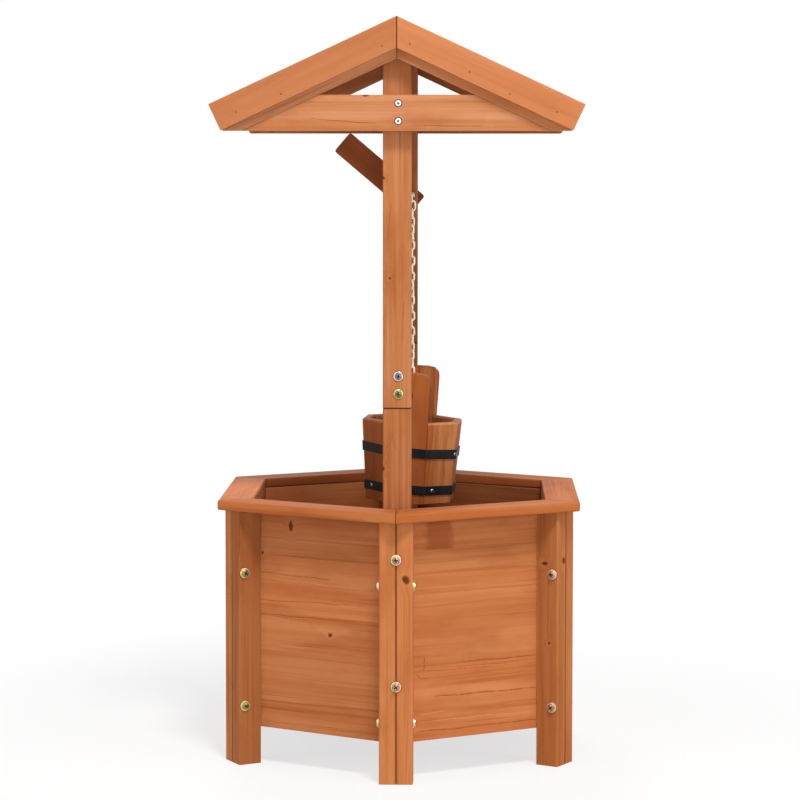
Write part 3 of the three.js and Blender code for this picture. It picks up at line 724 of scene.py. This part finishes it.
def makePanelsAndRim():
    for i, side in enumerate(sides):
        facing = outward(60 * i)
        level = up.cross(facing)
        joints = panelJoints[side]
        bm = boardCopy(f"panel_{side}")
        scoreJoints(bm, facing, joints)

        def turnedIn(face):
            return face.normal.dot(facing) < -edges["facing"]

        def row(place):
            return sum(place.z > z * mm for z in joints)

        # inner faces get painted shade, outer faces their board's tone
        def shade(face):
            if turnedIn(face):
                return insideLightAndShade.get(side, panelLook["insideShade"])
            return boardTones[side][row(face.calc_center_median())] if side in boardTones else 0.0

        board(f"panel_{side}", "firPanel", level, up, panelTones.get(side, 0.0), boardOf=row, bm=bm,
              shade=shade)
        # the rim's inner faces are darkened as painted shade
        board(f"rim_{side}", "firRim", level, facing, rimTones.get(side, 0.0), ease=rimLook["ease"],
              seams=cornerSeams, seamShade=rimLook["seamShade"],
              shade=lambda face: rimLook["insideShade"] if turnedIn(face) else 0.0)


def makeFloor():
    for i in range(3):
        board(f"floor_board_{i + 1}", "firFloor", xAxis, yAxis)


# Posts and the gable frames

postLook = {"lapBottom": 523, "lapTop": 586, "lapMiddle": 216.3, "ease": 1.3}
# the rear posts are darker as painted shade under the roof
postTones = {"front_lower": 0.0, "front_upper": 0.1, "rear_lower": -0.4, "rear_upper": -0.4}


def makePosts():
    seams = [(up * postLook[level] * mm, up) for level in ("lapBottom", "lapTop")]
    seams += [(yAxis * side * postLook["lapMiddle"] * mm, yAxis) for side in (-1, 1)]
    for name, tone in postTones.items():
        board(f"post_{name}", "firPost", up, xAxis, tone, ease=postLook["ease"], seams=seams)


roofLook = {"pitch": 25, "ridge": 1069, "halfWidth": 261, "boards": 4, "ease": 0.5}
roofPitch = radians(roofLook["pitch"])
roofBoard = roofLook["halfWidth"] / cos(roofPitch) / roofLook["boards"]
# the rear gable's tone is darker as painted shade under the roof
gableLook = {"front": 0.1, "rear": -0.5, "rafter": 0.1, "rafterSeam": 0.3, "fasciaSeam": 0.8}      # tones
ridgeSeam = [(Vector(), xAxis)]
fasciaTones = {"left": -0.15, "right": 0.25}
hands = (("left", -1), ("right", 1))


def slopeWay(side):
    return Vector((side * cos(roofPitch), 0, -sin(roofPitch)))


def makeGables():
    for end in ("front", "rear"):
        tone = gableLook[end]
        board(f"tie_beam_{end}", "firGable", xAxis, up, tone)
        for hand, side in hands:
            along = slopeWay(side)
            across = along.cross(yAxis)
            board(f"rafter_{end}_{hand}", "firGable", along, across, tone + gableLook["rafter"],
                  seams=ridgeSeam, seamShade=gableLook["rafterSeam"])
            board(f"fascia_{end}_{hand}", "firFascia", along, across, tone + fasciaTones[hand],
                  seams=ridgeSeam, seamShade=gableLook["fasciaSeam"])


def makeRoof():
    ridge = up * roofLook["ridge"] * mm
    for hand, side in hands:
        way = slopeWay(side)
        board(f"roof_{hand}", "firRoof", yAxis, way, ease=roofLook["ease"],
              boardOf=lambda p: int((p - ridge).dot(way) / (roofBoard * mm)))


# Crank

crank = {"axis": 814.04, "radius": 11, "rounding": 1.5, "handleRadius": 10, "handleRounding": 3,
         "handleTone": 0.3, "armEase": 1.6, "sides": 64, "roundSteps": 4, "rimAngle": 60, "wearAndLight": 0.6,
         "chainSide": 15.3, "screwRise": 4}


def dowel(node, radius, rounding, x, z, tone=0.0):      # from end to end of its CAD node; x and z in metres
    low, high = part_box(node)
    bm = bmesh.new()
    ops.create_cone(bm, cap_ends=True, segments=crank["sides"], radius1=radius * mm, radius2=radius * mm,
                    depth=high.y - low.y)
    # the rounded ends get pale worn stain and a painted highlight
    wornAndLit = bm.faces.layers.float.new("edgeWearAndLight")
    rims = [e for e in bm.edges if e.calc_face_angle() > radians(crank["rimAngle"])]
    made = ops.bevel(bm, geom=rims, offset=rounding * mm, segments=crank["roundSteps"], profile=0.5,
                     affect="EDGES", material=-1)
    for face in made["faces"]:
        face[wornAndLit] = crank["wearAndLight"]
    ops.rotate(bm, verts=bm.verts, cent=origin, matrix=quarterTurn.inverted())
    ops.translate(bm, verts=bm.verts, vec=(x, (low.y + high.y) / 2, z))
    layGrain(bm, node + "_wood", yAxis, xAxis, tone)
    return finish(bm, node + "_wood", firs["firCrank"], "crank", (node,))


def makeCrank():
    axis = crank["axis"] * mm
    low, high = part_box("crank_handle")
    grip = (low + high) / 2
    dowel("crank_shaft", crank["radius"], crank["rounding"], 0, axis)
    dowel("crank_handle", crank["handleRadius"], crank["handleRounding"], grip.x, grip.z,
          crank["handleTone"])
    reach = Vector((grip.x, 0, grip.z - axis))
    board("crank_arm", "firCrank", reach, reach.cross(yAxis), body="crank", ease=crank["armEase"])


# Chain: welded wire links, each turned a little less than a right angle from the one above

# aside: how far the second link is moved and twisted, to keep clear of the shaft when the chain swings
chain = {"wire": 2.6, "width": 11, "pitch": 11.65, "count": 24, "bite": 0.25, "halfTurns": 10, "top": 821.34,
         "bottomTurn": -4.6, "aside": (2.0, 30), "sides": 12, "steps": 30, "lift": 70}
ringLook = {"wire": 2.6, "inside": 9, "sides": 16, "steps": 56}
linkLength = chain["pitch"] + chain["wire"] - chain["bite"]      # along the wire's middle
weld = 0.001


def wireRing(radius, look):      # round Z, in millimetres
    bm = bmesh.new()
    ops.create_circle(bm, radius=look["wire"] / 2, segments=look["sides"])
    ops.rotate(bm, verts=bm.verts, cent=origin, matrix=quarterTurn)
    ops.translate(bm, verts=bm.verts, vec=(radius, 0, 0))
    ops.spin(bm, geom=bm.verts[:] + bm.edges[:], cent=origin, axis=up, angle=2 * pi, steps=look["steps"],
             use_merge=True)
    ops.remove_doubles(bm, verts=bm.verts, dist=weld)
    ops.recalc_face_normals(bm, faces=bm.faces)
    return bm


def link():
    bend = (chain["width"] - chain["wire"]) / 2
    bm = wireRing(bend, chain)
    for side in (-1, 1):
        half = [v for v in bm.verts if v.co.y * side > weld]
        ops.translate(bm, verts=half, vec=(0, side * (linkLength / 2 - bend), 0))
    ops.rotate(bm, verts=bm.verts, cent=origin, matrix=quarterTurn)
    return newMesh(bm, "link")


def makeChain():
    single = link()
    bm = bmesh.new()
    angle = (chain["halfTurns"] * 180 - chain["bottomTurn"]) / (chain["count"] - 1)
    for i in range(chain["count"]):
        before = len(bm.verts)
        bm.from_mesh(single)
        bm.verts.ensure_lookup_table()
        height = chain["top"] - i * chain["pitch"] - linkLength / 2
        shift, twist = chain["aside"] if i == 1 else (0, 0)
        place = Matrix.Translation(Vector((crank["chainSide"] + shift, 0, height)) * mm)
        matrix = place @ turn(90 - i * angle + twist) @ toMetres
        ops.transform(bm, matrix=matrix, verts=bm.verts[before:])
    piece = finish(bm, "chain_links", metals["chainZinc"], "chain", ("chain",), False)
    low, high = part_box("chain")
    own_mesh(piece)

    low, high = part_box("bucket_ring")
    bm = wireRing(ringLook["inside"] + ringLook["wire"] / 2, ringLook)
    place = Matrix.Translation((low + high) / 2) @ turn(tub["yaw"]) @ turn(90, "X")
    ops.transform(bm, matrix=place @ toMetres, verts=bm.verts)
    finish(bm, "bucket_ring_wire", metals["chainZinc"], "hanger", ("bucket_ring",), False)


# Bucket

tub = {"yaw": -4.6, "tilt": 2, "axis": 529.29, "rodOffset": 3, "rimDrop": 42, "rim": 77.4, "foot": 67.6,
       "height": 120, "hoop": 1.6, "ease": 0.9, "hoopEase": 0.35}
# inside is painted shade on the inner faces below the rim, low is painted shade on the outside below the
# upper hoop
bucketTones = {"inside": -0.5, "low": -0.35, "seam": 0.4, "bottom": -0.3, "rod": 0.1}
hoopLook = {"upper": {"drop": 44, "lean": 3.0}, "lower": {"drop": 99, "lean": 1.6}}
staves = ["right", "back_right", "back", "back_left", "left", "front_left", "front", "front_right"]
staveTurn = 360 / len(staves)
# the front, front left and left staves are darker as painted shade, on the side away from the light and in
# the post's shadow
staveTones = {"front": -0.35, "back": 1.2, "front_right": -0.1, "left": -0.3, "front_left": -0.3}
stripedStaves = ["front_right", "right", "back", "back_right", "back_left"]
tubPlace = (Matrix.Translation(Vector((crank["chainSide"], 0, tub["axis"])) * mm)
            @ turn(tub["yaw"]) @ turn(tub["tilt"], "Y")
            @ Matrix.Translation(xAxis * tub["rodOffset"] * mm))


def makeBucket():
    turned = tubPlace.to_3x3()
    axis = (turned @ up).normalized()
    seams = [(tubPlace.translation, turned @ up.cross(outward(staveTurn * (i + 0.5)))) for i in range(4)]
    drops = (tub["rimDrop"], tub["rimDrop"] + hoopLook["upper"]["drop"])
    for i, name in enumerate(staves):
        facing = turned @ outward(staveTurn * i)

        # painted shade: darker inside below the rim, and outside below the upper hoop
        def shade(face):      # dark inside below the rim, and outside below the upper hoop
            depth = -(face.calc_center_median() - tubPlace.translation).dot(axis) / mm
            if face.normal.dot(facing) < -edges["facing"]:
                return bucketTones["inside"] if depth > drops[0] else 0.0
            return bucketTones["low"] if depth > drops[1] else 0.0

        bm = boardCopy(f"stave_{name}", tub["ease"], seams, bucketTones["seam"])
        for drop in drops:
            bisect(bm, tubPlace.translation - axis * drop * mm, axis)
        fir = "firStriped" if name in stripedStaves else "firBucket"
        board(f"stave_{name}", fir, axis, axis.cross(facing), staveTones.get(name, 0.0), body="bucket", bm=bm,
              shade=shade)
    board("bucket_bottom", "firBucket", xAxis, yAxis, bucketTones["bottom"], body="bucket")
    for name in ("hoop_upper", "hoop_lower"):
        bm = boardCopy(name, tub["hoopEase"])
        finish(bm, name + "_band", metals["hoopPaint"], "bucket", (name,))
    along = turn(tub["yaw"]) @ yAxis
    board("bucket_rod", "firBucket", along, up.cross(along), bucketTones["rod"], body="bucket")


# Fasteners: truss heads with a cross recess, pressed nails and rivets

# shadowRing: a thin ring round a head, painted in the recess colour as a contact shadow
headColumns = ("washer", "washerThick", "radius", "side", "height", "crossReach", "crossWidth",
               "crossDepth", "shadowRing")
boltLook = dict(zip(headColumns, (7.5, 1.4, 5.6, 1.6, 4.8, 4.1, 2.1, 3.0, 0.6)))
lapLook = dict(zip(headColumns, (6.8, 1.0, 5.5, 1.2, 3.8, 4.2, 2.2, 2.6, 0.7)))
screwLook = dict(zip(headColumns, (4.2, 0.5, 3.9, 0.3, 1.5, 3.2, 2.4, 1.4, 1.4)))
headLook = {"soft": 0.3, "under": -0.2, "shadowRingHeight": 0.12, "domeSteps": 7, "steps": 36, "weld": 0.01,
            "cutterOver": 2, "cutterTaper": 0.45, "recessFrom": 0.3, "tilt": 1.5}
# Profiles from the rim to the middle: radius and height
nailProfile = [(1.25, 0), (1.25, 0.12), (0.9, 0.16), (0.0, 0.05)]
rivetProfile = [(2.7, 0), (2.7, 0.4), (2.2, 0.9), (1.6, 1.0), (1.2, 0.5), (0.0, 0.4)]
rivetHole = 1.45
screwProfile = [(1.7, -2), (1.7, 6.7), (3.8, 6.7), (3.8, 7.5), (1.9, 8.3), (0, 8.3)]


def lathe(profile, steps=headLook["steps"]):
    bm = bmesh.new()
    verts = [bm.verts.new((r, 0, z)) for r, z in profile]
    links = [bm.edges.new(pair) for pair in zip(verts, verts[1:])]
    ops.spin(bm, geom=verts + links, cent=origin, axis=up, angle=2 * pi, steps=steps, use_merge=True)
    ops.remove_doubles(bm, verts=bm.verts, dist=headLook["weld"])
    holes = [e for e in bm.edges if e.is_boundary]
    if holes:
        ops.holes_fill(bm, edges=holes)
    ops.recalc_face_normals(bm, faces=bm.faces)
    return bm


def domeHeight(look, r):
    base = look["washerThick"] + look["side"]
    return base + (look["height"] - base) * max(0.0, 1 - (r / look["radius"]) ** 2) ** 0.5


def headProfile(look):
    shadowRing, soft = look["washer"] + look["shadowRing"], headLook["soft"]
    points = [(shadowRing, headLook["under"]), (shadowRing, headLook["shadowRingHeight"]),
              (look["washer"], headLook["shadowRingHeight"]), (look["washer"], look["washerThick"] - soft),
              (look["washer"] - soft, look["washerThick"]), (look["radius"], look["washerThick"])]
    for i in range(headLook["domeSteps"] + 1):
        r = look["radius"] * cos(i / headLook["domeSteps"] * pi / 2)
        points.append((r, domeHeight(look, r)))
    return points


def crossCutter(look):
    bm = bmesh.new()
    ops.create_grid(bm, x_segments=3, y_segments=3, size=1)
    inner, outer = look["crossWidth"] / 2, look["crossReach"]
    for vert in bm.verts:      # the grid's lines are at -1, -1/3, 1/3 and 1
        for axis in (0, 1):
            size = outer if abs(vert.co[axis]) > 0.5 else inner
            vert.co[axis] = size if vert.co[axis] > 0 else -size
    corners = [f for f in bm.faces if min(abs(c) for c in f.calc_center_median()[:2]) > inner]
    ops.delete(bm, geom=corners, context="FACES")
    made = ops.extrude_face_region(bm, geom=bm.faces[:])
    raised = [v for v in made["geom"] if isinstance(v, bmesh.types.BMVert)]
    low = [v for v in bm.verts if v not in raised]
    taper = headLook["cutterTaper"]
    ops.translate(bm, verts=raised, vec=(0, 0, look["height"] + headLook["cutterOver"]))
    ops.scale(bm, verts=low, vec=(taper, taper, 1))
    ops.translate(bm, verts=low, vec=(0, 0, look["height"] - look["crossDepth"]))
    ops.recalc_face_normals(bm, faces=bm.faces)
    return bm


def markParts(mesh, look):      # 0 on the ring, 0.5 on the dome, 1 in the recess and on the ring round the head, both painted shade
    bm = bmesh.new()
    bm.from_mesh(mesh)
    part = bm.faces.layers.float.new("headPart")
    for face in bm.faces:
        middle = face.calc_center_median()
        r = middle.xy.length
        recessed = r < look["crossReach"] and middle.z < domeHeight(look, r) - headLook["recessFrom"]
        if r > look["washer"] or recessed:
            face[part] = 1.0
        elif r < look["radius"] and middle.z > look["washerThick"] + look["side"]:
            face[part] = 0.5
    bm.to_mesh(mesh)
    bm.free()


def crossHead(name, look):
    head = newObject(name, newMesh(lathe(headProfile(look)), name))
    cutter = newObject(name + "_cutter", newMesh(crossCutter(look), name + "_cutter"))
    cut = head.modifiers.new("cross", "BOOLEAN")
    cut.operation = "DIFFERENCE"
    cut.solver = "EXACT"
    cut.object = cutter
    solid = bpy.data.meshes.new_from_object(head.evaluated_get(bpy.context.evaluated_depsgraph_get()))
    for piece in (head, cutter):
        bpy.data.objects.remove(piece)
    markParts(solid, look)
    return solid


def gather(name, mesh, spots, metalName, body="base"):
    bm = bmesh.new()
    draw = random.Random(name)
    for place, facing in spots:
        before = len(bm.verts)
        bm.from_mesh(mesh)
        bm.verts.ensure_lookup_table()
        facing = Vector(facing).normalized()
        spun = facing.to_track_quat("Z", "Y").to_matrix().to_4x4() @ turn(draw.uniform(0, 360))
        tilt = turn(draw.uniform(-headLook["tilt"], headLook["tilt"]), "X")
        matrix = Matrix.Translation(Vector(place) * mm) @ spun @ tilt @ toMetres
        ops.transform(bm, matrix=matrix, verts=bm.verts[before:])
    return finish(bm, name, metals[metalName], body)


bolts = {"legFace": 277.5, "legWidth": 23.8, "boltLine": 268.5, "legBolts": (278, 85.7),
         "seamBolts": (315.4, 137.7), "postFace": 231.3, "postBack": 201.3, "lapBolts": (568, 543),
         "postShift": 1.8, "tieFace": 249.6, "tieShift": 2, "tieScrews": (948.8, 924), "fasciaFace": 261.9,
         "roofNailFace": 240.6, "roofNailShares": (0.22, 0.78)}
rivetPlaces = {"upper": ((315, 26), (180, -4)), "lower": ((315, -12), (225, -10), (90, 0))}    # degrees, mm
fasciaNails = {"left": ((-20.3, 1027.2), (-160, 961.2), (-222.3, 936.4)),
               "right": ((18.3, 1030), (101.1, 991.5), (156.3, 961.2), (221.1, 936.5))}      # X and height


def placeBolts():
    leg, steel, olive = [], [], []
    for i, facing in enumerate(cornerWays):
        across = up.cross(facing)
        for height in bolts["legBolts"]:
            for side in (-1, 1):
                middle = facing * bolts["boltLine"] + across * side * bolts["legWidth"]
                leg.append((middle + up * height, across * side))
        if legCorners[i] in ("back", "front"):
            leg += [(facing * bolts["legFace"] + up * height, facing) for height in bolts["seamBolts"]]
    for side in (-1, 1):
        facing = yAxis * side
        high, low = bolts["lapBolts"]
        middle = facing * bolts["postFace"] + xAxis * bolts["postShift"]
        olive.append((middle + up * low, facing))
        steel.append((middle + up * high, facing))
        olive += [(facing * bolts["postBack"] + up * height, -facing) for height in bolts["lapBolts"]]
    lap = crossHead("lapHead", lapLook)
    gather("leg_bolts", crossHead("boltHead", boltLook), leg, "yellowZinc")
    gather("lap_bolts_olive", lap, olive, "oliveZinc")
    gather("lap_bolts_steel", lap, steel, "boltSteel")


def placeScrewsAndNails():
    screws = [(Vector((bolts["tieShift"], side * bolts["tieFace"], height)), (0, side, 0))
              for side in (-1, 1) for height in bolts["tieScrews"]]
    gather("tie_screws", crossHead("screwHead", screwLook), screws, "screwSteel")

    nail = newMesh(lathe(nailProfile, 16), "nailHead")
    nails = [(Vector((-side * x, side * bolts["fasciaFace"], z)), (0, side, 0))
             for side in (-1, 1) for x, z in fasciaNails["left"] + fasciaNails["right"]]
    gather("fascia_nails", nail, nails, "nailSteel")
    roofNails = []
    for hand in (-1, 1):
        normal = Vector((hand * sin(roofPitch), 0, cos(roofPitch)))
        for i in range(roofLook["boards"]):
            for share in bolts["roofNailShares"]:
                line = up * roofLook["ridge"] + slopeWay(hand) * (i + share) * roofBoard
                roofNails += [(line + yAxis * side * bolts["roofNailFace"], normal) for side in (-1, 1)]
    gather("roof_nails", nail, roofNails, "nailSteel")


def placeRivetsAndChainScrew():
    rivet = newMesh(lathe(rivetProfile, 24), "rivetHead")
    # the rivet's hole is painted dark as shade
    part = rivet.attributes.new("headPart", "FLOAT", "FACE")
    for face, mark in zip(rivet.polygons, part.data):
        mark.value = 1.0 if face.center.xy.length < rivetHole else 0.0
    rivets = []
    flare = (tub["rim"] - tub["foot"]) / tub["height"]
    for name, spots in rivetPlaces.items():
        hoop = hoopLook[name]
        corner = tub["rim"] - hoop["drop"] * flare
        for angle, shift in spots:
            facing = outward(angle)
            flat = corner * cos(radians(staveTurn / 2)) + tub["hoop"]
            spot = facing * flat + up.cross(facing) * shift
            spot.z = -(tub["rimDrop"] + hoop["drop"]) - spot.x * tan(radians(hoop["lean"]))
            rivets.append((tubPlace @ (spot * mm) / mm, tubPlace.to_3x3() @ facing))
    gather("hoop_rivets", rivet, rivets, "rivetSteel", "bucket")

    screw = newMesh(lathe(screwProfile, 24), "chainScrew")
    spot = Vector((crank["radius"], 0, crank["axis"] + crank["screwRise"]))
    gather("chain_screw", screw, [(spot, xAxis)], "screwSteel", "crank")


makeLegs()
makePanelsAndRim()
makeFloor()
print("planter boards done")
makePosts()
makeGables()
makeRoof()
print("posts, gables and roof done")
makeCrank()
makeChain()
makeBucket()
print("crank, chain and bucket done")
placeBolts()
placeScrewsAndNails()
placeRivetsAndChainScrew()
print("fasteners done")

scene.view_settings.view_transform = "Standard"
